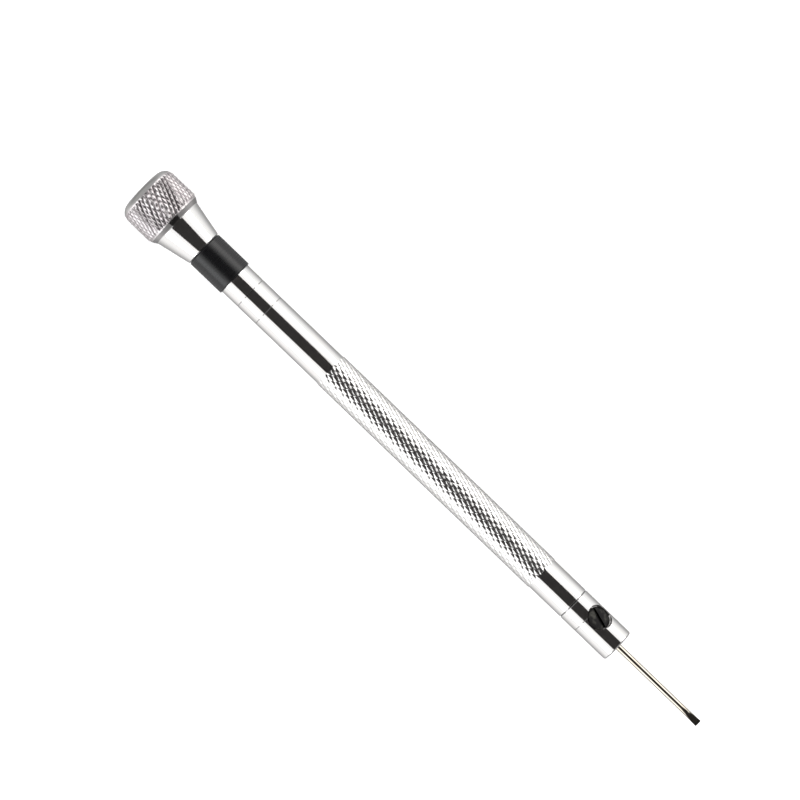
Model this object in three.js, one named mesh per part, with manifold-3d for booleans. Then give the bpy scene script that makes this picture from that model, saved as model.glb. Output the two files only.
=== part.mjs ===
// Watchmaker screwdriver: a swivelling finger head on a ball bearing, a knurled handle that holds
// spare blades, and a flat blade clamped by a small grub screw.
//
// Millimetres, +Z up. The tool lies along X with its blade tip at the origin, pointing to +X.
// Turned parts are described by stations, which are distances from the flat end of the head.
import * as THREE from 'three';
import { mergeVertices } from 'three/addons/utils/BufferGeometryUtils.js';
import Module from 'manifold-3d';

const wasm = await Module();
wasm.setup();

// ---------------------------------------------------------------- driving dimensions

const LENGTH = 104.2; // head's flat end to blade tip
const HANDLE_R = 2.5;
const AROUND = 48; // facets round an outer turned part
const AROUND_INNER = 32; // and round a small one inside
const TOUCHING = 0.03; // gap between faces that touch
const SLIP = 0.04; // radial gap where one part sits in another
const EDGE = 0.1; // small chamfer that breaks an edge
const MERGE_WITHIN = 1e-4; // points nearer to each other than this are one point

// Stations along the tool.
const SHOULDER_START = 5.5; // end of the head's full diameter
const SHOULDER_MIDDLE = 6.0;
const CONE_START = 6.7;
const CONE_END = 11.55; // end of the swivelling head
const COLLAR_START = 17.4; // end of the black sleeve
const REAR_JOINT = 20.3; // where the rear plug meets the barrel
const REAR_SCRIBE = 23.65;
const GRIP_START = 35.2;
const GRIP_END = 75.05;
const NOSE_JOINT = 80.7; // where the nose piece meets the barrel
const NOSE_SCRIBE = 83.4;
const BLADE_SCREW = 84.53;
const NOSE_END = 89.1;

const HEAD = { r: 4.45, cornerR: 1.7, cornerSteps: 8, shoulderR: 4.26, coneR: 3.76, coneEndR: 2.78 };
const SLEEVE = { r: 2.75, boreR: 2.17 };
const GRIP = { r: 2.6, bevel: 0.1 };
const SCRIBE = { halfWidth: 0.07, depth: 0.04 };
const JOINT_CHAMFER = 0.2;

const CAP = { r: 2.66, thickness: 1.65, dishR: 1.6, dishRimR: 2.35, dishDepth: 0.25, reliefDepth: 0.5 };
const CHAMBER_R = 2.7; // bore of the head behind the bearing
const NECK = { r: 1.8, seatR: 2.13 };
const BALL = { r: 0.5, circleR: 1.8, count: 10, detail: 2 };
const GROOVE = { r: 0.55, depth: 0.15, gap: 0.02, steps: 6 };
const UPPER_RACE = { boreR: 1.3, thickness: 0.8 };
const LOWER_RACE = { r: 2.4, thickness: 0.5 };
const WASHER = { r: 2.3, thickness: 0.3, play: 0.1 };
const PIVOT = { headR: 1.1, headHeight: 0.6, shankR: 0.75, length: 4.2, point: 0.2, slot: 0.35 };
const PIVOT_HOLE = { r: 0.8, depth: 4.0 };

const PLUG_THREAD = { r: 1.95, length: 5.8, lead: 0.2 };
const SEAL = { station: 21.2, grooveR: 1.45, grooveWidth: 0.6, sectionR: 0.25, sectionFacets: 10 };
const THREAD_BORE = { r: 2.0, end: 26.4 };
const MAGAZINE = { r: 1.7, end: 56, drillPoint: 1.0 };
const SPIGOT = { r: 1.77, boreR: 1.8, length: 5.9 };

const BLADE = { r: 0.465, length: 25.1, tailChamfer: 0.15 };
const BLADE_TIP = { width: 1.0, thickness: 0.18, wedge: 2.7, flare: 3.2 }; // wedge and flare: lengths
const BLADE_BORE = { r: 0.5, depth: 10.15 };
const SPARE = { count: 3, circleR: 1.17, step: 53, facets: 24 };

const GRUB = { r: 1.7, holeR: 1.75, tip: 0.49, top: 1.9, chamfer: 0.15, slotWidth: 0.55, slotDepth: 0.5 };
const GRUB_HOLE = { bottom: 0.35, countersinkR: 1.85 };
const GRUB_TILT = 31.5; // degrees from +Z towards +Y
const GRUB_SLOT_TURN = -19; // degrees from the tool's axis

// Stations that follow from the stack of parts in the head.
const UPPER_RACE_START = CAP.thickness + TOUCHING;
const UPPER_RACE_FACE = UPPER_RACE_START + UPPER_RACE.thickness;
const BALL_STATION = UPPER_RACE_FACE - GROOVE.depth + GROOVE.gap + BALL.r;
const LOWER_RACE_FACE = BALL_STATION + BALL.r + GROOVE.gap - GROOVE.depth;
const WASHER_START = LOWER_RACE_FACE + LOWER_RACE.thickness + TOUCHING;
const NECK_START = WASHER_START + WASHER.thickness + TOUCHING;
const CHAMBER_FLOOR = WASHER_START + WASHER.thickness + WASHER.play;

// ---------------------------------------------------------------- shape helpers

// A body of revolution about X. The outline lists [station, radius] points that run outwards at
// the rear, forwards on the outside and back on the inside. One that leaves the axis ends on it.
function turned(outline, facets = AROUND) {
  const points = outline.map(([station, radius]) => new THREE.Vector2(radius, station));
  if (points[0].x > 0) {
    points.push(points[0].clone());
  }
  return new THREE.LatheGeometry(points, facets).rotateZ(-Math.PI / 2);
}

// Points on an arc in the outline's plane. Angles are in degrees from the outward direction,
// and grow towards the tip.
function arc(station, radius, arcR, from, to, steps) {
  const points = [];
  for (let i = 0; i <= steps; i += 1) {
    const angle = THREE.MathUtils.degToRad(from + ((to - from) * i) / steps);
    points.push([station + arcR * Math.sin(angle), radius + arcR * Math.cos(angle)]);
  }
  return points;
}

// A fine V line turned into the surface of the handle.
function scribe(station) {
  return [
    [station - SCRIBE.halfWidth, HANDLE_R],
    [station, HANDLE_R - SCRIBE.depth],
    [station + SCRIBE.halfWidth, HANDLE_R],
  ];
}

// The ball groove across a race's face. It opens towards the tip, or with opens = -1 to the head.
function ballGroove(faceStation, opens) {
  const centre = faceStation + opens * (GROOVE.r - GROOVE.depth);
  const half = THREE.MathUtils.radToDeg(Math.acos((GROOVE.r - GROOVE.depth) / GROOVE.r));
  const middle = -90 * opens;
  return arc(centre, BALL.circleR, GROOVE.r, middle + half, middle - half, GROOVE.steps);
}

// A closed geometry as a manifold-3d solid.
function solidFrom(geometry) {
  const bare = new THREE.BufferGeometry();
  bare.setAttribute('position', geometry.getAttribute('position'));
  bare.setIndex(geometry.index);
  const merged = mergeVertices(bare, MERGE_WITHIN);
  const mesh = new wasm.Mesh({
    numProp: 3,
    vertProperties: merged.attributes.position.array,
    triVerts: new Uint32Array(merged.index.array),
  });
  return new wasm.Manifold(mesh);
}

function geometryFrom(solid) {
  const mesh = solid.getMesh();
  const geometry = new THREE.BufferGeometry();
  geometry.setAttribute('position', new THREE.BufferAttribute(mesh.vertProperties, 3));
  geometry.setIndex(new THREE.BufferAttribute(mesh.triVerts, 1));
  return geometry;
}

// ---------------------------------------------------------------- head and its bearing

// Knurled finger disc and cone in one piece, bored for the neck and for the bearing.
function swivelHead() {
  return turned([
    [0, CHAMBER_R],
    ...arc(HEAD.cornerR, HEAD.r - HEAD.cornerR, HEAD.cornerR, -90, 0, HEAD.cornerSteps),
    [SHOULDER_START, HEAD.r],
    [SHOULDER_MIDDLE, HEAD.shoulderR],
    [CONE_START, HEAD.coneR],
    [CONE_END, HEAD.coneEndR],
    [CONE_END, NECK.r + SLIP],
    [CHAMBER_FLOOR, NECK.r + SLIP],
    [CHAMBER_FLOOR, CHAMBER_R],
  ]);
}

// Dished insert that closes the head and backs the upper race.
function fingerCap() {
  return turned([
    [CAP.dishDepth, 0],
    [CAP.dishDepth, CAP.dishR],
    [0, CAP.dishRimR],
    [0, CAP.r - EDGE],
    [EDGE, CAP.r],
    [CAP.thickness, CAP.r],
    [CAP.thickness, UPPER_RACE.boreR],
    [CAP.thickness - CAP.reliefDepth, UPPER_RACE.boreR],
    [CAP.thickness - CAP.reliefDepth, 0],
  ]);
}

function upperRace() {
  return turned([
    [UPPER_RACE_START, UPPER_RACE.boreR],
    [UPPER_RACE_START, CAP.r],
    [UPPER_RACE_FACE, CAP.r],
    ...ballGroove(UPPER_RACE_FACE, 1),
    [UPPER_RACE_FACE, UPPER_RACE.boreR],
  ], AROUND_INNER);
}

function lowerRace() {
  const back = LOWER_RACE_FACE + LOWER_RACE.thickness;
  return turned([
    [LOWER_RACE_FACE, PIVOT_HOLE.r],
    ...ballGroove(LOWER_RACE_FACE, -1),
    [LOWER_RACE_FACE, LOWER_RACE.r],
    [back, LOWER_RACE.r],
    [back, PIVOT_HOLE.r],
  ], AROUND_INNER);
}

// Its rim reaches under the head's chamber floor, so the head can't be pulled off the neck.
function retainingWasher() {
  return turned([
    [WASHER_START, PIVOT_HOLE.r],
    [WASHER_START, WASHER.r],
    [WASHER_START + WASHER.thickness, WASHER.r],
    [WASHER_START + WASHER.thickness, PIVOT_HOLE.r],
  ], AROUND_INNER);
}

// Slotted screw that clamps the lower race and the washer to the neck. Its thread is plain here.
function pivotScrew() {
  const seat = LOWER_RACE_FACE - TOUCHING;
  const top = seat - PIVOT.headHeight;
  const body = turned([
    [top, 0],
    [top, PIVOT.headR],
    [seat, PIVOT.headR],
    [seat, PIVOT.shankR],
    [seat + PIVOT.length - PIVOT.point, PIVOT.shankR],
    [seat + PIVOT.length, PIVOT.shankR - PIVOT.point],
    [seat + PIVOT.length, 0],
  ], AROUND_INNER);
  const slot = new THREE.BoxGeometry(PIVOT.slot * 2, PIVOT.headR * 3, PIVOT.slot).translate(top, 0, 0);
  return geometryFrom(solidFrom(body).subtract(solidFrom(slot)));
}

// ---------------------------------------------------------------- handle

// Neck for the head, seat for the sleeve, the collar that shows, and the thread into the barrel.
function rearPlug() {
  const end = REAR_JOINT + PLUG_THREAD.length;
  const sealStart = SEAL.station - SEAL.grooveWidth / 2;
  const sealEnd = SEAL.station + SEAL.grooveWidth / 2;
  return turned([
    [NECK_START + PIVOT_HOLE.depth, 0],
    [NECK_START + PIVOT_HOLE.depth, PIVOT_HOLE.r],
    [NECK_START, PIVOT_HOLE.r],
    [NECK_START, NECK.r - EDGE],
    [NECK_START + EDGE, NECK.r],
    [CONE_END + TOUCHING, NECK.r],
    [CONE_END + TOUCHING, NECK.seatR],
    [COLLAR_START, NECK.seatR],
    [COLLAR_START, HANDLE_R - EDGE],
    [COLLAR_START + EDGE, HANDLE_R],
    [REAR_JOINT - TOUCHING - JOINT_CHAMFER, HANDLE_R],
    [REAR_JOINT - TOUCHING, HANDLE_R - JOINT_CHAMFER],
    [REAR_JOINT - TOUCHING, PLUG_THREAD.r],
    [sealStart, PLUG_THREAD.r],
    [sealStart, SEAL.grooveR],
    [sealEnd, SEAL.grooveR],
    [sealEnd, PLUG_THREAD.r],
    [end - PLUG_THREAD.lead, PLUG_THREAD.r],
    [end, PLUG_THREAD.r - PLUG_THREAD.lead],
    [end, 0],
  ]);
}

function plugSeal() {
  const circleR = SEAL.grooveR + SEAL.sectionR + TOUCHING;
  return new THREE.TorusGeometry(circleR, SEAL.sectionR, SEAL.sectionFacets, AROUND_INNER)
    .rotateY(Math.PI / 2)
    .translate(SEAL.station, 0, 0);
}

// Black plastic sleeve that tells the blade size.
function sizeSleeve() {
  const start = CONE_END + 2 * TOUCHING;
  const end = COLLAR_START - TOUCHING;
  return turned([
    [start, SLEEVE.boreR],
    [start, SLEEVE.r - EDGE],
    [start + EDGE, SLEEVE.r],
    [end - EDGE, SLEEVE.r],
    [end, SLEEVE.r - EDGE],
    [end, SLEEVE.boreR],
  ]);
}

// The handle's tube. The spare blades lie in the bore behind, and the nose is pressed in in front.
function handleBarrel() {
  return turned([
    [MAGAZINE.end + MAGAZINE.drillPoint, 0],
    [MAGAZINE.end, MAGAZINE.r],
    [THREAD_BORE.end, MAGAZINE.r],
    [THREAD_BORE.end, THREAD_BORE.r],
    [REAR_JOINT, THREAD_BORE.r],
    [REAR_JOINT, HANDLE_R - JOINT_CHAMFER],
    [REAR_JOINT + JOINT_CHAMFER, HANDLE_R],
    ...scribe(REAR_SCRIBE),
    [GRIP_START, HANDLE_R],
    [GRIP_START + GRIP.bevel, GRIP.r],
    [GRIP_END - GRIP.bevel, GRIP.r],
    [GRIP_END, HANDLE_R],
    [NOSE_JOINT - JOINT_CHAMFER, HANDLE_R],
    [NOSE_JOINT, HANDLE_R - JOINT_CHAMFER],
    [NOSE_JOINT, SPIGOT.boreR],
    [NOSE_JOINT - SPIGOT.length - EDGE, SPIGOT.boreR],
    [NOSE_JOINT - SPIGOT.length - EDGE, 0],
  ]);
}

// The tapped cross hole with its countersink, as the solid that the drill takes away. It lies
// along the Y axis, and y is the distance from the tool's axis.
function grubHole() {
  const above = 0.2; // how far the drill stands out of the nose
  const outline = [
    new THREE.Vector2(0, GRUB_HOLE.bottom),
    new THREE.Vector2(GRUB.holeR, GRUB_HOLE.bottom),
    new THREE.Vector2(GRUB.holeR, HANDLE_R - (GRUB_HOLE.countersinkR - GRUB.holeR)),
    new THREE.Vector2(GRUB_HOLE.countersinkR + above, HANDLE_R + above),
    new THREE.Vector2(0, HANDLE_R + above),
  ];
  return new THREE.LatheGeometry(outline, AROUND);
}

const grubTurn = THREE.MathUtils.degToRad(90 - GRUB_TILT);

// Front piece of the handle, with the blade's bore and the tapped cross hole.
function chuckNose() {
  const face = NOSE_JOINT + TOUCHING;
  const spigotStart = NOSE_JOINT - SPIGOT.length;
  const body = turned([
    [spigotStart, 0],
    [spigotStart, SPIGOT.r - EDGE],
    [spigotStart + EDGE, SPIGOT.r],
    [face, SPIGOT.r],
    [face, HANDLE_R - JOINT_CHAMFER],
    [face + JOINT_CHAMFER, HANDLE_R],
    ...scribe(NOSE_SCRIBE),
    [NOSE_END - JOINT_CHAMFER, HANDLE_R],
    [NOSE_END, HANDLE_R - JOINT_CHAMFER],
    [NOSE_END, BLADE_BORE.r + EDGE],
    [NOSE_END - EDGE, BLADE_BORE.r],
    [NOSE_END - BLADE_BORE.depth, BLADE_BORE.r],
    [NOSE_END - BLADE_BORE.depth, 0],
  ]);
  const hole = grubHole().rotateX(grubTurn).translate(BLADE_SCREW, 0, 0);
  return geometryFrom(solidFrom(body).subtract(solidFrom(hole)));
}

// ---------------------------------------------------------------- blade and its screw

// A round rod, slightly flared and ground to a flat wedge, with its tip at x = 0.
function bladeShape(facets) {
  const tail = -BLADE.length;
  const rod = turned([
    [tail, 0],
    [tail, BLADE.r - BLADE.tailChamfer],
    [tail + BLADE.tailChamfer, BLADE.r],
    [-BLADE_TIP.flare, BLADE.r],
    [0, BLADE_TIP.width / 2],
    [0, 0],
  ], facets);
  const slope = (BLADE.r - BLADE_TIP.thickness / 2) / BLADE_TIP.wedge;
  const halfThickness = (x) => BLADE_TIP.thickness / 2 - slope * x;
  const rear = tail - EDGE; // the wedge's solid reaches past the rod at both ends
  const front = EDGE;
  const side = new THREE.Shape([
    new THREE.Vector2(rear, -halfThickness(rear)),
    new THREE.Vector2(front, -halfThickness(front)),
    new THREE.Vector2(front, halfThickness(front)),
    new THREE.Vector2(rear, halfThickness(rear)),
  ]);
  const width = BLADE_TIP.width * 2;
  const wedge = new THREE.ExtrudeGeometry(side, { depth: width, bevelEnabled: false })
    .translate(0, 0, -width / 2)
    .rotateX(Math.PI / 2);
  return geometryFrom(solidFrom(rod).intersect(solidFrom(wedge)));
}

// M3.5 grub screw along Y, with y as the distance from the tool's axis. Its thread is plain here.
function bladeScrew() {
  const outline = [
    new THREE.Vector2(0, GRUB.tip),
    new THREE.Vector2(GRUB.r - GRUB.chamfer, GRUB.tip),
    new THREE.Vector2(GRUB.r, GRUB.tip + GRUB.chamfer),
    new THREE.Vector2(GRUB.r, GRUB.top - GRUB.chamfer),
    new THREE.Vector2(GRUB.r - GRUB.chamfer, GRUB.top),
    new THREE.Vector2(0, GRUB.top),
  ];
  const body = new THREE.LatheGeometry(outline, AROUND);
  const slot = new THREE.BoxGeometry(GRUB.r * 3, GRUB.slotDepth * 2, GRUB.slotWidth)
    .rotateY(THREE.MathUtils.degToRad(GRUB_SLOT_TURN))
    .translate(0, GRUB.top, 0);
  return geometryFrom(solidFrom(body).subtract(solidFrom(slot)));
}

// ---------------------------------------------------------------- assembly

const FINISH = {
  chrome: { color: 0xe6e6e4, roughness: 0.12, metalness: 1 },
  steel: { color: 0xb9b8b4, roughness: 0.25, metalness: 1 },
  bladeSteel: { color: 0xc9c2ae, roughness: 0.22, metalness: 1 },
  black: { color: 0x1b1b1e, roughness: 0.35, metalness: 0.8 },
  plastic: { color: 0x232325, roughness: 0.5, metalness: 0 },
  rubber: { color: 0x171717, roughness: 0.8, metalness: 0 },
};

const tool = new THREE.Group();
tool.position.x = -LENGTH;

function add(name, geometry, finish) {
  const mesh = new THREE.Mesh(geometry, new THREE.MeshStandardMaterial(FINISH[finish]));
  mesh.name = name;
  tool.add(mesh);
  return mesh;
}

add('swivel_head', swivelHead(), 'chrome');
add('finger_cap', fingerCap(), 'chrome');
add('upper_race', upperRace(), 'steel');
add('lower_race', lowerRace(), 'steel');
add('retaining_washer', retainingWasher(), 'steel');
add('pivot_screw', pivotScrew(), 'steel');
add('size_sleeve', sizeSleeve(), 'plastic');
add('rear_plug', rearPlug(), 'chrome');
add('plug_seal', plugSeal(), 'rubber');
add('handle_barrel', handleBarrel(), 'chrome');
add('chuck_nose', chuckNose(), 'chrome');

for (let i = 0; i < BALL.count; i += 1) {
  const angle = (2 * Math.PI * i) / BALL.count;
  const y = BALL.circleR * Math.cos(angle);
  const z = BALL.circleR * Math.sin(angle);
  const ball = add(`bearing_ball_${i + 1}`, new THREE.IcosahedronGeometry(BALL.r, BALL.detail), 'steel');
  ball.position.set(BALL_STATION, y, z);
}

const blade = add('blade', bladeShape(AROUND), 'bladeSteel');
blade.position.x = LENGTH;

// The spare blades lie side by side on the floor of the barrel's bore, against its front end.
for (let i = 0; i < SPARE.count; i += 1) {
  const angle = THREE.MathUtils.degToRad(-90 + SPARE.step * (i - (SPARE.count - 1) / 2));
  const spare = add(`spare_blade_${i + 1}`, bladeShape(SPARE.facets), 'bladeSteel');
  const y = SPARE.circleR * Math.cos(angle);
  const z = SPARE.circleR * Math.sin(angle);
  spare.position.set(MAGAZINE.end - TOUCHING, y, z);
  spare.rotation.x = angle;
}

const screw = add('blade_screw', bladeScrew(), 'black');
screw.rotation.x = grubTurn;
screw.position.x = BLADE_SCREW;

export default tool;
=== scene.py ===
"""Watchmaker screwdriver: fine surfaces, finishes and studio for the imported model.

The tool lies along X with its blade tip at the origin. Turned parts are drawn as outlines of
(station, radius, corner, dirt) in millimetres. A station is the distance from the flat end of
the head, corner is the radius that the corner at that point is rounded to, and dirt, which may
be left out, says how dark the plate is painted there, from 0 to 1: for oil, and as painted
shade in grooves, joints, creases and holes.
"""

import math

import bmesh
import bpy
from mathutils import Matrix, Vector


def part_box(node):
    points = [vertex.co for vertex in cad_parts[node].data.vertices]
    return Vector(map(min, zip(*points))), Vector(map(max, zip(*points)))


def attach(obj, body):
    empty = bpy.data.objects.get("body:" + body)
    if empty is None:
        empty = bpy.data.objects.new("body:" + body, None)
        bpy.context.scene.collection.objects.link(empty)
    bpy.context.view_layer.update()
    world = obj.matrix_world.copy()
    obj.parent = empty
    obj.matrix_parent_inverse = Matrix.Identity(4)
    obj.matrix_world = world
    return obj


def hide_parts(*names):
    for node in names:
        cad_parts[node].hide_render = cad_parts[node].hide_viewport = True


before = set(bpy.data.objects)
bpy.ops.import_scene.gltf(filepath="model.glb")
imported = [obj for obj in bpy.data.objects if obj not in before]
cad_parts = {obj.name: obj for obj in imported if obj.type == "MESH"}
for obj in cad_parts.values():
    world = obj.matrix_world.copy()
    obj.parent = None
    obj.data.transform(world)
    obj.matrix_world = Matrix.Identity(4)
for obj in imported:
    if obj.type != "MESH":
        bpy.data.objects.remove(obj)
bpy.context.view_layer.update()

MM = 0.001
HEAD_END_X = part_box("swivel_head")[0].x

# Sizes in millimetres.
HANDLE_R = 2.5
HEAD_R = 4.45
HEAD_END_CORNER = 1.7
HEAD_SHOULDER = 5.5           # where the knurled disc starts to round over to the bevel
HEAD_KNURL_START = 0.9
HEAD_KNURL_LENGTH = 5.03
HEAD_BORE_R = 2.7
HEAD_BORE_END = 4.15
HEAD_NECK_R = 1.85
CAP_R = 2.67
CAP_RIM_R = 2.4
CAP_DISH_R = 1.6
CAP_DISH_DEPTH = 0.25
CAP_RECESS_R = 1.3
CAP_RECESS_DEPTH = 0.5
SLEEVE_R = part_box("size_sleeve")[1].z / MM
SLEEVE_BORE_R = 2.17
PIVOT_HOLE_R = 0.8
PIVOT_HOLE_DEPTH = 4
PLUG_NECK_R = 1.8
PLUG_SEAT_R = 2.13            # the sleeve sits on this
PLUG_SPIGOT_R = 1.95
PLUG_THREAD_ROOT_R = 1.66
PLUG_END_CORNER = 0.3
PLUG_PITCH = 0.5
SEAL_GROOVE_R = 1.45
SEAL_GAP = 0.05
JOINT_GAP = 0.03              # between two pieces that are screwed or pressed together
JOINT_BREAK = 0.12            # chamfer where the nose meets the barrel
PLUG_BREAK = 0.05             # and where the rear plug does
BARREL_MOUTH_R = 2.0
BARREL_BORE_R = 1.7
BARREL_BORE_START = 26.4
BARREL_BORE_END = 56
GRIP_START = 35.2
GRIP_LENGTH = 39.8
GRIP_R = 2.6
GRIP_RUN_OUT = 0.2            # over this length each end of the grip comes down to the handle
GRIP_RIM = 0.15               # how far inside the grip's ends its knurl begins, between two mesh rows
SPIGOT_R = 1.77
SPIGOT_SOCKET_R = 1.8
SPIGOT_SOCKET_DEPTH = 6
REAR_SCRIBE = 23.65
NOSE_SCRIBE = 83.4
NOSE_CHAMFER = 0.17
BLADE_BORE_R = 0.5
BLADE_BORE_DEPTH = 10.15
BLADE_R = 0.465
BLADE_TIP_WIDTH = 1.0
BLADE_TIP_THICKNESS = 0.18
BLADE_WEDGE = 2.7
BLADE_FLARE = 3.2
GRUB_TILT = math.radians(31.5)
GRUB_SLOT_TURN = math.radians(-19)
GRUB_SLOT = 0.7, 4, 0.55      # twice its depth, its length and its width
GRUB_R = 1.7
GRUB_ROOT_R = 1.4
GRUB_TIP, GRUB_TOP = 0.49, 1.9
GRUB_PITCH = 0.6
HOLE_R = 1.78
HOLE_ROOT_R = 1.46
HOLE_BOTTOM, HOLE_TOP = 0.35, 3.0


def station_of(x):
    """The station, in millimetres, of a place x metres along the tool."""
    return (x - HEAD_END_X) / MM


def ends(node):
    """The stations of a CAD node's two ends."""
    low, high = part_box(node)
    return station_of(low.x), station_of(high.x)


# ---------------------------------------------------------------- camera

CAMERA_HEIGHT = 0.66
FRAME_WIDTH = 0.1081          # what the picture's width takes in at the tool's axis
CAMERA_ROLL = math.radians(43.86)
CAMERA_AIM = Vector((-0.05935, 0.00361, 0))


def make_camera():
    data = bpy.data.cameras.new("camera")
    data.sensor_width = 36
    data.lens = data.sensor_width * CAMERA_HEIGHT / FRAME_WIDTH
    data.clip_start = 0.01
    data.clip_end = 20
    camera = bpy.data.objects.new("camera", data)
    camera.location = CAMERA_AIM + Vector((0, 0, CAMERA_HEIGHT))
    camera.rotation_euler = (0, 0, CAMERA_ROLL)
    bpy.context.scene.collection.objects.link(camera)
    bpy.context.scene.camera = camera


make_camera()


# ---------------------------------------------------------------- outlines

SMALL_CORNER = 0.15           # a corner up to this radius counts as an edge that wears bright
GUARD = 0.08                  # a point this far past a corner keeps the face beside it flat


def lerp(a, b, t):
    return a + (b - a) * t


def share(neighbour):
    """How much of the line to a neighbouring point a corner may use up."""
    return 0.48 if neighbour[2] else 0.97


def softened(outline):
    """Rounds the corners of an open outline. Returns (station, radius, wear, dirt) points, dirt being
    how dark oil and painted shade make them.
    """
    outline = [(*point, 0.0)[:4] for point in outline]
    done = [(*outline[0][:2], 0.0, outline[0][3])]
    for before, here, after in zip(outline, outline[1:], outline[2:]):
        corner, dirt_and_shade = here[2:]
        point = Vector(here[:2])
        back = Vector(before[:2]) - point
        on = Vector(after[:2]) - point
        turn = math.pi - back.angle(on, math.pi)
        if corner == 0 or turn < 0.02:
            done.append((*point, 0.0, dirt_and_shade))
            continue
        room = min(share(before) * back.length, share(after) * on.length)
        reach = min(corner * math.tan(turn / 2), room)
        start = point + back.normalized() * reach
        end = point + on.normalized() * reach
        worn = 1.0 if corner <= SMALL_CORNER and not dirt_and_shade else 0.0
        if back.length > 2 * (reach + GUARD):
            done.append((*(point + back.normalized() * (reach + GUARD)), 0.0, 0.0))
        steps = 4 if corner <= SMALL_CORNER else 14
        pull = math.cos(turn / 2)
        for i in range(steps + 1):
            t = i / steps
            weights = (1 - t) ** 2, 2 * pull * t * (1 - t), t ** 2
            place = (start * weights[0] + point * weights[1] + end * weights[2]) / sum(weights)
            done.append((*place, worn, dirt_and_shade))
        if on.length > 2 * (reach + GUARD):
            done.append((*(point + on.normalized() * (reach + GUARD)), 0.0, 0.0))
    done.append((*outline[-1][:2], 0.0, outline[-1][3]))
    return done


def resampled(outline, start, count, step):
    """Replaces count steps of a rising outline, from start on, by evenly spaced rows."""
    def radius_at(station):
        for a, b in zip(outline, outline[1:]):
            if a[0] <= station <= b[0] and b[0] > a[0]:
                return lerp(a[1], b[1], (station - a[0]) / (b[0] - a[0]))
        return outline[-1][1]

    stations = [start + i * step for i in range(count + 1)]
    rows = [(station, radius_at(station), 0.0, 0.0) for station in stations]
    before = [p for p in outline if p[0] < start - 0.2 * step]
    after = [p for p in outline if p[0] > stations[-1] + 0.2 * step]
    return before + rows + after


def rows_from(outline, start, count):
    """The numbers of the first and the last of the count rows that resampled put in at start."""
    first = next(i for i, point in enumerate(outline) if abs(point[0] - start) < 1e-9)
    return first, first + count


# ---------------------------------------------------------------- relief: knurls and threads

def wave(t):
    """A triangle wave: 0 at whole numbers, 1 halfway between them."""
    return 1 - abs(2 * (t - math.floor(t)) - 1)


def scatter(number):
    """A value from 0 to 1 that looks random, always the same for the same number."""
    value = math.sin(12.9898 * number) * 43758.5453
    return value - math.floor(value)


class Knurl:
    """A raised diamond knurl: two sets of crossing V grooves in the surface of a cylinder.

    starts grooves run each way, pitch millimetres apart along the tool. A groove is depth deep,
    and its flanks take up the share called flank of the ground between two grooves. What they
    leave swells up by swell. The second set is only second times as deep as the first, and no
    two grooves of a set are quite equally deep: uneven says how much. grime says how dark their
    bottoms are painted: oil, and painted shade in the valleys. The mesh has cell rows and columns
    to a diamond. All this holds exactly for a relief that starts on a mesh row, as the head's
    does. The grip's starts between two rows, so its grooves come out about 0.7 as deep and
    lopsided, which looks more like the photograph.
    """

    def __init__(self, starts, pitch, depth, flank, swell, second, cell, uneven, grime_and_shade):
        self.starts = starts
        self.pitch = pitch
        self.depth = depth
        self.flank = flank
        self.swell = swell
        self.second = second
        self.cell = cell
        self.uneven = uneven
        self.grime_and_shade = grime_and_shade
        self.around = starts * cell
        self.row = pitch / cell

    def groove(self, t, seed):
        """How far below the tops the surface is beside the groove that runs along whole t."""
        number = math.floor(t + 0.5) % self.starts
        full = self.depth * (1 - self.uneven * scatter(number + seed))
        gap = wave(t)
        return full * max(0, 1 - gap / self.flank) + self.swell * (1 - gap) ** 2

    def relief(self, start, end):
        """The knurl between two stations, running out over a third of a row at each end."""
        def shape(station, radius, angle):
            room = min(station - start, end - station) / self.row
            if room < 0:
                return radius, 0.0, 0.0
            turn = self.starts * angle / math.tau
            along = (station - start) / self.pitch
            one_way = self.groove(turn + along, 0.25)
            other_way = self.second * self.groove(turn - along, 0.5)
            deep = max(one_way, other_way) * min(1, 3 * room)
            # The second value darkens the valleys in step with their depth: oil, and painted shade.
            return radius - deep, self.grime_and_shade * deep / self.depth, 1.0
        return shape

    def rows_in(self, length):
        """How many of its rows come nearest to a length."""
        return round(length / self.row)

    def splits_across(self, row, column):
        """Which diagonal of a quad follows the nearest groove of a relief that starts on a row."""
        a = (row + column + 1) / self.cell
        b = (column - row) / self.cell
        return wave(a) <= wave(b)


def thread(crest, root, pitch, flat=0.12, least_shade=0.0):
    """A right-hand V thread cut into whatever stands out further than it."""
    def shape(station, radius, angle):
        phase = wave(station / pitch + angle / math.tau)
        height = min(1, max(0, (phase - flat) / (1 - 2 * flat)))
        cut = root + (crest - root) * height
        # The second value paints the thread darker towards its roots, never lighter than least_shade:
        # oil, and painted shade inside a hole.
        if radius < cut:
            return radius, least_shade, 1.0
        return cut, max(1 - height, least_shade), 1.0
    return shape


# ---------------------------------------------------------------- meshes

SMOOTH_AROUND = 192           # how many facets go round a smooth turned piece
SMALL_AROUND = 96
BLADE_AROUND = 64

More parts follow.
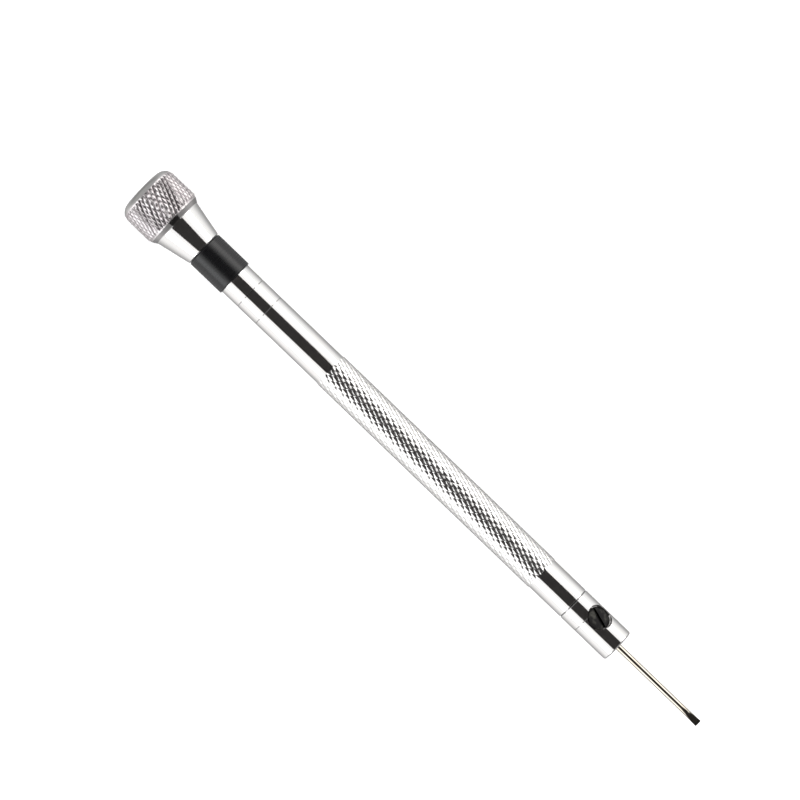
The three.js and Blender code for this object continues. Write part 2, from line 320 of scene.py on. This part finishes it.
def revolve(name, outline, around, relief=None, knurl=None, knurl_rows=None, closed=False):
    """A body of revolution about X. A closed outline comes back to its first point.

    An outline's points are (station, radius), and may go on with their wear and with how dark oil and
    painted shade make them.
    relief(station, radius, angle) gives the radius there, how deep in a groove it is and
    whether it has been cut or rolled at all. Angles run from +Z towards +Y. Between the two
    knurl_rows the faces are split in two along the knurl's grooves.
    """
    mesh = bmesh.new()
    wear = mesh.verts.layers.float.new("wear")
    groove = mesh.verts.layers.float.new("groove")
    tooled = mesh.verts.layers.float.new("tooled")
    rings = []
    for point in outline:
        station, radius, worn, dirt_and_shade = (*point, 0.0, 0.0)[:4]
        x = HEAD_END_X + station * MM
        if radius < 1e-6:
            rings.append([mesh.verts.new((x, 0, 0))] * around)
            continue
        ring = []
        for k in range(around):
            angle = math.tau * k / around
            r, deep, rough = relief(station, radius, angle) if relief else (radius, 0.0, 0.0)
            vert = mesh.verts.new((x, r * math.sin(angle) * MM, r * math.cos(angle) * MM))
            vert[wear] = worn
            # groove: how dark the plate is painted here, for oil and as painted shade in grooves,
            # joints and holes
            vert[groove] = max(deep, dirt_and_shade)
            vert[tooled] = rough
            ring.append(vert)
        rings.append(ring)
    pairs = list(zip(rings, rings[1:]))
    if closed:
        pairs.append((rings[-1], rings[0]))
    for i, (ring, following) in enumerate(pairs):
        for k in range(around):
            n = (k + 1) % around
            a, b, c, d = ring[k], ring[n], following[n], following[k]
            if not (knurl and knurl_rows[0] <= i < knurl_rows[1]):
                faces = [tuple(dict.fromkeys((a, b, c, d)))]
            elif knurl.splits_across(i - knurl_rows[0], k):
                faces = [(a, b, d), (b, c, d)]
            else:
                faces = [(a, b, c), (a, c, d)]
            for face in faces:
                if len(face) > 2:
                    mesh.faces.new(face)
    bmesh.ops.recalc_face_normals(mesh, faces=mesh.faces)
    return as_object(name, mesh)


def as_object(name, mesh):
    data = bpy.data.meshes.new(name)
    mesh.to_mesh(data)
    mesh.free()
    piece = bpy.data.objects.new(name, data)
    bpy.context.scene.collection.objects.link(piece)
    return piece


def sharpen(piece, degrees=35):
    """Smooth faces, with the edges that turn by more than this left sharp."""
    mesh = bmesh.new()
    mesh.from_mesh(piece.data)
    for face in mesh.faces:
        face.smooth = True
    for edge in mesh.edges:
        edge.smooth = len(edge.link_faces) == 2 and edge.calc_face_angle(0) < math.radians(degrees)
    mesh.to_mesh(piece.data)
    mesh.free()


def cut(piece, tool):
    """Takes the tool's shape out of the piece and deletes the tool."""
    modifier = piece.modifiers.new("cut", "BOOLEAN")
    modifier.operation = "DIFFERENCE"
    modifier.solver = "MANIFOLD"
    modifier.object = tool
    bpy.context.view_layer.objects.active = piece
    bpy.ops.object.modifier_apply(modifier=modifier.name)
    bpy.data.objects.remove(tool)


def block(name, size, matrix):
    """A plain block, used up as a cutting tool."""
    mesh = bmesh.new()
    bmesh.ops.create_cube(mesh, size=1, matrix=matrix @ Matrix.Diagonal((*size, 1)))
    return as_object(name, mesh)


# ---------------------------------------------------------------- head

HEAD_KNURL = Knurl(starts=42, pitch=1.3, depth=0.185, flank=1.0, swell=0, second=0.75, cell=8,
                   uneven=0.45, grime_and_shade=1.25)
GRIP_KNURL = Knurl(starts=21, pitch=1.34, depth=0.105, flank=1 / 3, swell=0.035, second=0.55, cell=6,
                   uneven=0.25, grime_and_shade=0.45)


def swivel_head():
    """The knurled disc, the bevel below it, painted dark as painted shade, and the cone down to the
    sleeve.
    """
    start, end = ends("swivel_head")
    outer = softened([
        (start, HEAD_BORE_R, 0),
        (start, HEAD_R, HEAD_END_CORNER),
        (HEAD_SHOULDER, HEAD_R, 0.6),
        (5.95, 4.26, 0),          # the bevel, painted dark between its two edges as painted shade
        (6.05, 4.2, 0, 0.75),
        (6.58, 3.88, 0, 0.75),
        (6.62, 3.856, 0),
        (6.72, 3.79, 0.04),       # the cone
        (end - 0.03, 2.77, 0.02),
        (end, 2.7, 0, 0.8),       # its end face, against the sleeve, painted dark: oil and painted shade between the parts
        (end, HEAD_NECK_R, 0, 0.8),
    ])
    count = HEAD_KNURL.rows_in(HEAD_KNURL_LENGTH)
    knurl_end = HEAD_KNURL_START + count * HEAD_KNURL.row
    outer = resampled(outer, HEAD_KNURL_START, count, HEAD_KNURL.row)
    # A known fault, hidden inside: the knurl's relief also reaches these two points, so the neck
    # hole narrows here to a radius of 1.67 and cuts up to 0.13 into the plug's neck.
    inner = [(HEAD_BORE_END, HEAD_NECK_R), (HEAD_BORE_END, HEAD_BORE_R)]
    knurled = HEAD_KNURL.relief(HEAD_KNURL_START, knurl_end)
    return revolve("head_body", outer + inner, HEAD_KNURL.around, knurled, HEAD_KNURL,
                   rows_from(outer, HEAD_KNURL_START, count), closed=True)


def finger_cap():
    """The dished insert that the fingertip pushes on."""
    start, end = ends("finger_cap")
    dish = start + CAP_DISH_DEPTH
    recess = end - CAP_RECESS_DEPTH
    return revolve("finger_dish", softened([
        (dish, 0, 0),
        (dish, CAP_DISH_R, 0.6),
        (start, CAP_RIM_R, 0.12),
        (start, CAP_R, 0.05),
        (end, CAP_R, 0.05),
        (end, CAP_RECESS_R, 0.02),
        (recess, CAP_RECESS_R, 0.02),
        (recess, 0, 0),
    ]), SMOOTH_AROUND)


# ---------------------------------------------------------------- handle

def size_sleeve():
    """The black sleeve whose colour stands for the blade's size."""
    start, end = ends("size_sleeve")
    face_r = SLEEVE_BORE_R + 0.13
    outer = softened([
        (start, face_r, 0),
        (start, SLEEVE_R, 0.25),
        (end, SLEEVE_R, 0.12),
        (end, face_r, 0),
    ])
    bore = [(end, SLEEVE_BORE_R), (start, SLEEVE_BORE_R)]
    return revolve("size_ring", outer + bore, SMOOTH_AROUND, closed=True)


def rear_plug():
    """The collar behind the joint, its neck and its seat for the sleeve, and the thread inside."""
    start, end = ends("rear_plug")
    sleeve_start, sleeve_end = ends("size_sleeve")
    seal_start, seal_end = ends("plug_seal")
    joint = ends("handle_barrel")[0] - JOINT_GAP
    collar = sleeve_end + JOINT_GAP
    groove_start = seal_start - SEAL_GAP
    groove_end = seal_end + SEAL_GAP
    outer = softened([
        (start, PIVOT_HOLE_R, 0),
        (start, PLUG_NECK_R, 0.1),
        (sleeve_start, PLUG_NECK_R, 0.03),
        (sleeve_start, PLUG_SEAT_R, 0.03),
        (collar, PLUG_SEAT_R, 0.02),
        (collar, HANDLE_R, 0.06),
        (joint - PLUG_BREAK, HANDLE_R, 0),
        # The joint's chamfer and face are painted dark: oil, and painted shade in the joint's crevice.
        (joint, HANDLE_R - PLUG_BREAK, 0, 0.5),
        (joint, PLUG_SPIGOT_R, 0.02, 1.0),
        (groove_start, PLUG_SPIGOT_R, 0.03),
        (groove_start, SEAL_GROOVE_R, 0.03),
        (groove_end, SEAL_GROOVE_R, 0.03),
        (groove_end, PLUG_SPIGOT_R, 0.03),
        (end, PLUG_SPIGOT_R, PLUG_END_CORNER),
        (end, 0, 0),
    ])
    step = PLUG_PITCH / 8
    first = groove_end + 0.1
    thread_length = end - PLUG_END_CORNER - 0.05 - first
    outer = resampled(outer, first, round(thread_length / step), step)
    cutter = thread(PLUG_SPIGOT_R, PLUG_THREAD_ROOT_R, PLUG_PITCH)

    def relief(station, radius, angle):
        if station < first:
            return radius, 0.0, 0.0
        return cutter(station, radius, angle)

    pivot_hole = [(start + PIVOT_HOLE_DEPTH, 0), (start + PIVOT_HOLE_DEPTH, PIVOT_HOLE_R)]
    return revolve("plug_body", pivot_hole + outer, SMOOTH_AROUND, relief)


def plug_seal():
    """The O-ring in the plug's groove, round in section."""
    start, end = ends("plug_seal")
    section = (end - start) / 2
    centre = (start + end) / 2
    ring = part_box("plug_seal")[1].z / MM - section
    angles = [math.tau * i / 24 for i in range(24)]
    outline = [(centre + section * math.cos(a), ring + section * math.sin(a)) for a in angles]
    return revolve("o_ring", outline, SMOOTH_AROUND // 2, closed=True)


def scribed(station):
    """A fine V line turned into the handle, painted dark at its bottom: oil, and painted shade in the
    crease.
    """
    return [
        (station - 0.05, HANDLE_R, 0.02, 0.4),
        (station, HANDLE_R - 0.03, 0, 1.0),
        (station + 0.05, HANDLE_R, 0.02, 0.4),
    ]


def handle_barrel():
    """The long tube with the knurled grip, its rear bore and the socket for the nose."""
    start, end = ends("handle_barrel")
    count = GRIP_KNURL.rows_in(GRIP_LENGTH)
    grip_end = GRIP_START + count * GRIP_KNURL.row
    socket = end - SPIGOT_SOCKET_DEPTH
    bore = [
        (BARREL_BORE_END + 1, 0),
        (BARREL_BORE_END, BARREL_BORE_R),
        (BARREL_BORE_START, BARREL_BORE_R),
        (BARREL_BORE_START, BARREL_MOUTH_R),
    ]
    outer = softened([
        # The rear face and chamfer at the joint with the plug are painted dark: oil, and painted shade
        # in the crevice.
        (start, BARREL_MOUTH_R, 0, 1.0),
        (start, HANDLE_R - PLUG_BREAK, 0, 0.5),
        (start + PLUG_BREAK, HANDLE_R, 0),
        *scribed(REAR_SCRIBE),
        (GRIP_START, HANDLE_R, 0),
        (GRIP_START + GRIP_RUN_OUT, GRIP_R, 0),
        (grip_end - GRIP_RUN_OUT, GRIP_R, 0),
        (grip_end, HANDLE_R, 0),
        (end - JOINT_BREAK, HANDLE_R, 0.03),
        # The front chamfer and face at the joint with the nose are painted dark: oil, and painted shade
        # in the crevice.
        (end, HANDLE_R - JOINT_BREAK, 0, 1.0),
        (end, SPIGOT_SOCKET_R, 0, 1.0),
    ])
    outer = resampled(outer, GRIP_START, count, GRIP_KNURL.row)
    outline = bore + outer + [(socket, SPIGOT_SOCKET_R), (socket, 0)]
    knurled = GRIP_KNURL.relief(GRIP_START + GRIP_RIM, grip_end - GRIP_RIM)

    def relief(station, radius, angle):
        return knurled(station, radius, angle) if radius > BARREL_MOUTH_R else (radius, 0.0, 0.0)

    return revolve("barrel_tube", outline, GRIP_KNURL.around, relief, GRIP_KNURL,
                   rows_from(outline, GRIP_START, count))


GRUB_AXIS = Vector((0, math.sin(GRUB_TILT), math.cos(GRUB_TILT)))
GRUB_X = (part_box("blade_screw")[0].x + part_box("blade_screw")[1].x) / 2


def grub_frame():
    """Moves a turned body onto the blade screw's axis: its x runs out along that axis."""
    along = Vector((1, 0, 0))
    side = GRUB_AXIS.cross(along)
    turn = Matrix((GRUB_AXIS, along, side)).transposed().to_4x4()
    return Matrix.Translation((GRUB_X, 0, 0)) @ turn @ Matrix.Translation((-HEAD_END_X, 0, 0))


def rod_outline(bottom, top, radius, corner):
    """The outline of a plain rod, from the middle of one end to the middle of the other."""
    return [(bottom, 0, 0), (bottom, radius, corner), (top, radius, corner), (top, 0, 0)]


def threaded_rod(name, outline, crest, root, least_shade=0.0):
    """A threaded body on the blade screw's axis. Its stations are distances from the tool's axis."""
    step = GRUB_PITCH / 12
    first = outline[0][0] + 0.01
    count = round((outline[-1][0] - 0.01 - first) / step)
    whole = softened(outline)
    rows = resampled(whole[1:-1], first, count, step)
    cutter = thread(crest, root, GRUB_PITCH, least_shade=least_shade)
    body = revolve(name, [whole[0], *rows, whole[-1]], SMALL_AROUND, cutter)
    body.data.transform(grub_frame())
    return body


def hole_mouth():
    """The tapped hole's countersunk opening, painted dark throughout as painted shade inside the hole.
    """
    outline = [
        (1.65, 0),
        (1.65, HOLE_ROOT_R),
        (1.97, HOLE_R),
        (2.42, HOLE_R),
        (2.6, HOLE_R + 0.18),
        (2.6, 0),
    ]
    body = revolve("hole_mouth", [(*point, 0, 0.9) for point in outline], SMALL_AROUND)
    body.data.transform(grub_frame())
    return body


def chuck_nose():
    """The front piece: its spigot, the joint groove, the blade's bore and the tapped cross hole."""
    start, end = ends("chuck_nose")
    face = ends("handle_barrel")[1] + JOINT_GAP
    bore_end = end - BLADE_BORE_DEPTH
    body = revolve("nose_body", softened([
        (start, 0, 0),
        (start, SPIGOT_R, 0.1),
        # The spigot and face at the joint are painted dark: oil, and painted shade in the crevice.
        (face, SPIGOT_R, 0.02, 1.0),
        (face, HANDLE_R - JOINT_BREAK, 0, 1.0),
        (face + JOINT_BREAK, HANDLE_R, 0.03),
        *scribed(NOSE_SCRIBE),
        (end - NOSE_CHAMFER - 0.01, HANDLE_R, 0),
        # The end chamfer is painted a little dark, as painted shade: a grey line round the nose's end.
        (end - NOSE_CHAMFER, HANDLE_R, 0, 0.45),
        (end, HANDLE_R - NOSE_CHAMFER, 0, 0.45),
        (end, HANDLE_R - NOSE_CHAMFER - 0.01, 0),
        (end, BLADE_BORE_R + 0.1, 0.05),
        (end - 0.1, BLADE_BORE_R, 0.02),
        (bore_end, BLADE_BORE_R, 0),
        (bore_end, 0, 0),
    ]), SMOOTH_AROUND)
    hole = rod_outline(HOLE_BOTTOM, HOLE_TOP, HOLE_R, 0)
    # The hole's walls are painted dark, no lighter than 0.7, as painted shade inside the hole.
    cut(body, threaded_rod("hole", hole, HOLE_R, HOLE_ROOT_R, least_shade=0.7))
    cut(body, hole_mouth())
    return body


def blade_screw():
    """The slotted grub screw that clamps the blade."""
    rod = rod_outline(GRUB_TIP, GRUB_TOP, GRUB_R, 0.2)
    body = threaded_rod("grub_screw", rod, GRUB_R, GRUB_ROOT_R)
    slot_turn = Matrix.Rotation(GRUB_SLOT_TURN, 4, GRUB_AXIS)
    along = grub_frame().to_3x3().to_4x4()
    place = Matrix.Translation(Vector((GRUB_X, 0, 0)) + GRUB_AXIS * GRUB_TOP * MM)
    slot = block("slot", [size * MM for size in GRUB_SLOT], place @ slot_turn @ along)
    cut(body, slot)
    return body


# ---------------------------------------------------------------- blade

def blade():
    """A round rod, flared a little at its tip and ground to a wedge from above and below."""
    start, end = ends("blade")
    body = revolve("blade_rod", softened([
        (start, 0, 0),
        (start, BLADE_R, 0.15),
        (end - BLADE_FLARE, BLADE_R, 0.15),
        (end, BLADE_TIP_WIDTH / 2, 0.01),
        (end, 0, 0),
    ]), BLADE_AROUND)
    mesh = bmesh.new()
    mesh.from_mesh(body.data)
    slope = (BLADE_R - BLADE_TIP_THICKNESS / 2) / BLADE_WEDGE
    for side in (1, -1):
        normal = Vector((slope, 0, side)).normalized()
        point = Vector((0, 0, side * BLADE_TIP_THICKNESS / 2 * MM))
        everything = mesh.verts[:] + mesh.edges[:] + mesh.faces[:]
        made = bmesh.ops.bisect_plane(mesh, geom=everything, plane_co=point, plane_no=normal,
                                      clear_outer=True, dist=1e-8)
        rim = [e for e in made["geom_cut"] if isinstance(e, bmesh.types.BMEdge)]
        bmesh.ops.contextual_create(mesh, geom=rim)
    bmesh.ops.recalc_face_normals(mesh, faces=mesh.faces)
    mesh.to_mesh(body.data)
    mesh.free()
    return body


# ---------------------------------------------------------------- materials

def feed(tree, socket, value):
    """Gives an input either a link from another node or a fixed value."""
    if isinstance(value, bpy.types.NodeSocket):
        tree.links.new(value, socket)
    else:
        socket.default_value = value


def add_node(tree, kind, inputs=None, **settings):
    node = tree.nodes.new(kind)
    for key, value in settings.items():
        setattr(node, key, value)
    for key, value in (inputs or {}).items():
        feed(tree, node.inputs[key], value)
    return node


class Finish:
    """A material being built round one Principled shader, with coordinates in millimetres."""

    def __init__(self, name, **shader):
        self.material = bpy.data.materials.new(name)
        self.material.use_nodes = True
        self.tree = self.material.node_tree
        self.shader = self.tree.nodes["Principled BSDF"]
        for key, value in shader.items():
            self.shader.inputs[key.replace("_", " ")].default_value = value
        place = self.add("ShaderNodeTexCoord").outputs["Object"]
        scaled = self.add("ShaderNodeVectorMath", {0: place, "Scale": 1 / MM}, operation="SCALE")
        self.place = scaled.outputs[0]
        split = self.add("ShaderNodeSeparateXYZ", {0: self.place})
        flat = self.add("ShaderNodeCombineXYZ", {"Y": split.outputs["Y"], "Z": split.outputs["Z"]})
        radius = self.add("ShaderNodeVectorMath", {0: flat.outputs[0]}, operation="LENGTH")
        self.ring = self.maths("ADD", split.outputs["X"], radius.outputs["Value"])

    def add(self, kind, inputs=None, **settings):
        return add_node(self.tree, kind, inputs, **settings)

    def maths(self, operation, a, b):
        return self.add("ShaderNodeMath", {0: a, 1: b}, operation=operation).outputs[0]

    def noise(self, scale, detail=3, rough=0.55):
        return self.add("ShaderNodeTexNoise", {"Vector": self.place, "Scale": scale, "Detail": detail,
                                               "Roughness": rough}).outputs["Fac"]

    def rings(self, scale, detail=2):
        """Noise that changes only along the tool and outwards, as a lathe tool's marks do."""
        return self.add("ShaderNodeTexNoise", {"W": self.ring, "Scale": scale, "Detail": detail},
                        noise_dimensions="1D").outputs["Fac"]

    def attribute(self, name):
        return self.add("ShaderNodeAttribute", attribute_name=name).outputs["Fac"]

    def spread(self, value, low, high, low_in=0.0, high_in=1.0):
        """A value that runs from low_in to high_in, made to run from low to high."""
        return self.add("ShaderNodeMapRange", {"Value": value, "From Min": low_in, "From Max": high_in,
                                               "To Min": low, "To Max": high}).outputs[0]

    def mix(self, factor, a, b):
        """Colour a where factor is 0 and b where it is 1."""
        return self.add("ShaderNodeMix", {0: factor, 6: a, 7: b}, data_type="RGBA").outputs[2]

    def colour(self, value):
        self.tree.links.new(value, self.shader.inputs["Base Color"])

    def roughness(self, value):
        self.tree.links.new(value, self.shader.inputs["Roughness"])

    def bump(self, height, microns, onto=None):
        inputs = {"Height": height, "Distance": microns * 1e-6, "Strength": 1.0}
        if onto is not None:
            inputs["Normal"] = onto
        return self.add("ShaderNodeBump", inputs).outputs[0]

    def normal(self, value):
        self.tree.links.new(value, self.shader.inputs["Normal"])


def polished_plate(name, knurl_tint, knurl_haze):
    """Bright plate: faint tint changes, haze, turning marks, duller knurls, and grooves, joints and
    holes painted dark for oil and as painted shade.
    """
    f = Finish(name, Metallic=1.0)
    cloud = f.noise(0.35)
    bright = f.mix(f.spread(cloud, 0, 1, 0.3, 0.7), (0.73, 0.715, 0.7, 1), (0.7, 0.695, 0.69, 1))
    tooled = f.attribute("tooled")
    patchy = f.maths("MULTIPLY", tooled, f.spread(f.noise(2.5), 0.4, 1.0, 0.35, 0.65))
    knurled = f.mix(patchy, bright, knurl_tint)
    # Grooves, joints and holes go towards near-black: oil, and painted shade in creases and recesses.
    dirt_and_shade = f.spread(f.attribute("groove"), 0, 0.9, 0.3, 1.0)
    stained_and_shaded = f.mix(dirt_and_shade, knurled, (0.09, 0.075, 0.08, 1))
    f.colour(f.mix(f.attribute("wear"), stained_and_shaded, (0.78, 0.775, 0.77, 1)))
    haze = f.spread(f.noise(1.4, 5), 0.04, 0.1, 0.35, 0.75)
    rough = f.maths("ADD", haze, f.spread(f.rings(3), 0, 0.04))
    f.roughness(f.maths("ADD", rough, f.maths("MULTIPLY", tooled, knurl_haze)))
    f.normal(f.bump(f.noise(6, 4), 0.5, onto=f.bump(f.rings(9), 0.6)))
    return f.material


def bearing_steel(name):
    """Ground steel with fine turning marks and a little oil."""
    f = Finish(name, Metallic=1.0)
    f.colour(f.mix(f.noise(2.2), (0.75, 0.75, 0.74, 1), (0.62, 0.6, 0.57, 1)))
    f.roughness(f.spread(f.noise(5, 4), 0.12, 0.3))
    f.normal(f.bump(f.rings(25), 1.0))
    return f.material


def blade_steel(name):
    """Hardened steel with a straw tint, finely ground."""
    f = Finish(name, Metallic=1.0)
    patches = f.spread(f.noise(0.8), 0, 1, 0.35, 0.65)
    f.colour(f.mix(patches, (0.48, 0.45, 0.395, 1), (0.43, 0.395, 0.335, 1)))
    f.roughness(f.spread(f.noise(3, 5), 0.04, 0.1, 0.3, 0.7))
    f.normal(f.bump(f.rings(18), 0.2))
    return f.material


def black_oxide(name):
    """Blackened screw: patchy oxide, with bare steel where the edges have rubbed."""
    f = Finish(name, Metallic=0.85)
    coat = f.mix(f.noise(2.5, 4), (0.002, 0.002, 0.0025, 1), (0.008, 0.0075, 0.0075, 1))
    rubbed = f.maths("MULTIPLY", f.attribute("wear"), f.spread(f.noise(4, 4), 0, 0.8, 0.5, 0.65))
    thin = f.mix(f.spread(f.noise(0.9), 0, 1, 0.5, 0.75), coat, (0.05, 0.05, 0.043, 1))
    f.colour(f.mix(rubbed, thin, (0.35, 0.33, 0.32, 1)))
    f.roughness(f.spread(f.noise(7, 4), 0.28, 0.5))
    f.normal(f.bump(f.noise(12, 3), 2.0))
    return f.material


def sleeve_plastic(name):
    """Satin black moulding with a fine grain and faint scuffs round it."""
    f = Finish(name, IOR=1.42, Metallic=0.0)
    f.colour(f.mix(f.noise(1.2, 4), (0.004, 0.0045, 0.0055, 1), (0.009, 0.0085, 0.009, 1)))
    scuffs = f.spread(f.rings(6, 4), 0, 0.08, 0.45, 0.75)
    f.roughness(f.maths("ADD", f.spread(f.noise(9, 3), 0.2, 0.3), scuffs))
    f.normal(f.bump(f.noise(14, 2), 3.0, onto=f.bump(f.rings(5), 2.0)))
    return f.material


def seal_rubber(name):
    """Matt black rubber with a fine grain."""
    f = Finish(name, Metallic=0.0)
    f.colour(f.mix(f.noise(3), (0.015, 0.015, 0.015, 1), (0.035, 0.034, 0.033, 1)))
    f.roughness(f.spread(f.noise(8), 0.6, 0.85))
    f.normal(f.bump(f.noise(10), 4.0))
    return f.material


# ---------------------------------------------------------------- pieces

PLATE = polished_plate("polished_plate", knurl_tint=(0.6, 0.59, 0.58, 1), knurl_haze=0.15)
HEAD_PLATE = polished_plate("head_plate", knurl_tint=(0.5, 0.46, 0.47, 1), knurl_haze=0.3)
BEARING = bearing_steel("bearing_steel")
BLADE_STEEL = blade_steel("blade_steel")
OXIDE = black_oxide("black_oxide")
PLASTIC = sleeve_plastic("sleeve_plastic")
RUBBER = seal_rubber("seal_rubber")


def dress(piece, body, node, material):
    """Smooths a new piece, gives it its finish and its body, and hides the CAD node that it stands for.
    """
    sharpen(piece)
    piece.data.materials.clear()
    piece.data.materials.append(material)
    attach(piece, body)
    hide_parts(node)


dress(swivel_head(), "head", "swivel_head", HEAD_PLATE)
dress(finger_cap(), "head", "finger_cap", HEAD_PLATE)
dress(size_sleeve(), "rear_plug", "size_sleeve", PLASTIC)
dress(rear_plug(), "rear_plug", "rear_plug", PLATE)
dress(plug_seal(), "seal", "plug_seal", RUBBER)
dress(handle_barrel(), "handle", "handle_barrel", PLATE)
dress(chuck_nose(), "handle", "chuck_nose", PLATE)
dress(blade_screw(), "blade_screw", "blade_screw", OXIDE)
dress(blade(), "blade", "blade", BLADE_STEEL)

CARRIED_OVER = {
    BEARING: ["upper_race", "lower_race", "retaining_washer", "pivot_screw"]
             + [f"bearing_ball_{i}" for i in range(1, 11)],
    BLADE_STEEL: ["spare_blade_1", "spare_blade_2", "spare_blade_3"],
}
for material, nodes in CARRIED_OVER.items():
    for name in nodes:
        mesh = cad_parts[name].data
        mesh.materials.clear()
        mesh.materials.append(material)


# ---------------------------------------------------------------- studio

def plain(name, colour, roughness, glow=0.0):
    """A plain matt finish, which gives off white light of its own if glow is above 0."""
    f = Finish(name, Roughness=roughness)
    f.shader.inputs["Base Color"].default_value = (*colour, 1)
    f.shader.inputs["Emission Color"].default_value = (1, 1, 1, 1)
    f.shader.inputs["Emission Strength"].default_value = glow
    return f.material


def sheet(name, width, length, matrix, material):
    """A flat sheet of the studio, length along its own x and width along its y."""
    mesh = bmesh.new()
    bmesh.ops.create_grid(mesh, x_segments=1, y_segments=1, size=0.5,
                          matrix=matrix @ Matrix.Diagonal((length, width, 1, 1)))
    piece = as_object(name, mesh)
    piece.data.materials.append(material)
    return piece


WHITE_PAPER = (0.93, 0.93, 0.93)
LIGHT_TABLE = 0.5             # how much light the floor gives off itself
FLOOR_SIZE = 6
BACKDROP_HEIGHT = 4


def floor():
    """A light table, leaning so that the tool rests on its head's rim and its nose's edge.

    Polished faces don't reflect it: what they see below them is the lower half of the world.
    """
    head_x = HEAD_END_X + 3 * MM
    nose_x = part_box("chuck_nose")[1].x
    rise = (HEAD_R - HANDLE_R) * MM
    lean = math.atan2(rise, nose_x - head_x)
    place = Matrix.Translation((head_x, 0, -HEAD_R * MM - 0.00002))
    turn = Matrix.Rotation(-lean, 4, "Y")
    paper = plain("floor_paper", WHITE_PAPER, 0.9, LIGHT_TABLE)
    ground = sheet("floor", FLOOR_SIZE, FLOOR_SIZE, place @ turn, paper)
    ground.visible_glossy = False


def backdrop():
    """White paper standing round the floor. Only the camera sees it, so it lights nothing."""
    paper = plain("backdrop_paper", WHITE_PAPER, 0.9, 1.0)
    stand = Matrix.Translation((0.48 * FLOOR_SIZE, 0, 0)) @ Matrix.Rotation(math.pi / 2, 4, "Y")
    for quarter in range(4):
        turn = Matrix.Rotation(quarter * math.tau / 4, 4, "Z")
        paper_sheet = sheet(f"backdrop_{quarter + 1}", FLOOR_SIZE, BACKDROP_HEIGHT, turn @ stand, paper)
        paper_sheet.visible_glossy = False
        paper_sheet.visible_diffuse = False
        paper_sheet.visible_shadow = False


BLACK_FELT = (0.016, 0.014, 0.0135)
CARD_HEIGHT = 1.0
CARD_LENGTH = 3.1
CARD_SHIFT = 0.75             # how far the card's middle lies past the tool's, towards the blade
CARD_HALF_ANGLE = math.radians(32)


def black_card():
    """A dark flag above the camera, along the tool. The handle's dark stripe is its reflection."""
    width = 2 * CARD_HEIGHT * math.tan(CARD_HALF_ANGLE)
    place = Matrix.Translation((CAMERA_AIM.x + CARD_SHIFT, 0, CARD_HEIGHT))
    sheet("black_card", width, CARD_LENGTH, place, plain("black_card", BLACK_FELT, 1.0))


SOFT_BOX_WATTS = 6.5
SOFT_BOX_LEAN = math.radians(64)
SOFT_BOX_DISTANCE = 1.1


def soft_box(name, side, colour):
    """A large soft lamp on one side of the tool: side is -1 or 1."""
    light = bpy.data.lights.new(name, "AREA")
    light.shape = "RECTANGLE"
    light.size = 1.8
    light.size_y = 0.6
    light.energy = SOFT_BOX_WATTS
    light.color = colour
    lamp = bpy.data.objects.new(name, light)
    aside = side * math.sin(SOFT_BOX_LEAN)
    place = Vector((CAMERA_AIM.x, aside, math.cos(SOFT_BOX_LEAN))) * SOFT_BOX_DISTANCE
    lamp.location = place
    lamp.rotation_euler = (Vector((CAMERA_AIM.x, 0, 0)) - place).to_track_quat("-Z", "Y").to_euler()
    bpy.context.scene.collection.objects.link(lamp)


WALL = 1.33                   # how bright the white walls along both sides of the tool are
WALL_END = 0.34               # and, next to them, the studio past the tool's two ends
UNDERSIDE = 0.3               # and the reflection from below


def surroundings():
    """White walls along both sides, greyer past the tool's ends and towards the ground."""
    world = bpy.data.worlds.new("studio")
    world.use_nodes = True
    tree = world.node_tree
    direction = add_node(tree, "ShaderNodeTexCoord").outputs["Generated"]
    axes = add_node(tree, "ShaderNodeSeparateXYZ", {0: direction})

    def maths(operation, a, b=0.0):
        return add_node(tree, "ShaderNodeMath", {0: a, 1: b}, operation=operation).outputs[0]

    def fade(value, start, end, far):
        """1 up to start, and smoothly down to far at end."""
        return add_node(tree, "ShaderNodeMapRange", {
            "Value": value, "From Min": start, "From Max": end, "To Min": 1.0, "To Max": far,
        }, interpolation_type="SMOOTHSTEP").outputs[0]

    sides = fade(maths("ABSOLUTE", axes.outputs["X"]), 0.45, 0.9, WALL_END)
    tilted = maths("SUBTRACT", maths("MULTIPLY", axes.outputs["Y"], 0.08), axes.outputs["Z"])
    below = fade(tilted, 0.0, 1.0, UNDERSIDE)
    background = tree.nodes["Background"]
    strength = maths("MULTIPLY", maths("MULTIPLY", sides, below), WALL)
    feed(tree, background.inputs["Strength"], strength)
    feed(tree, background.inputs["Color"], (1, 1, 1, 1))
    bpy.context.scene.world = world


def studio():
    surroundings()
    bpy.context.scene.view_settings.view_transform = "Standard"
    floor()
    backdrop()
    black_card()
    soft_box("cool_soft_box", -1, (0.95, 0.98, 1.0))
    soft_box("warm_soft_box", 1, (1.0, 0.98, 0.955))


studio()
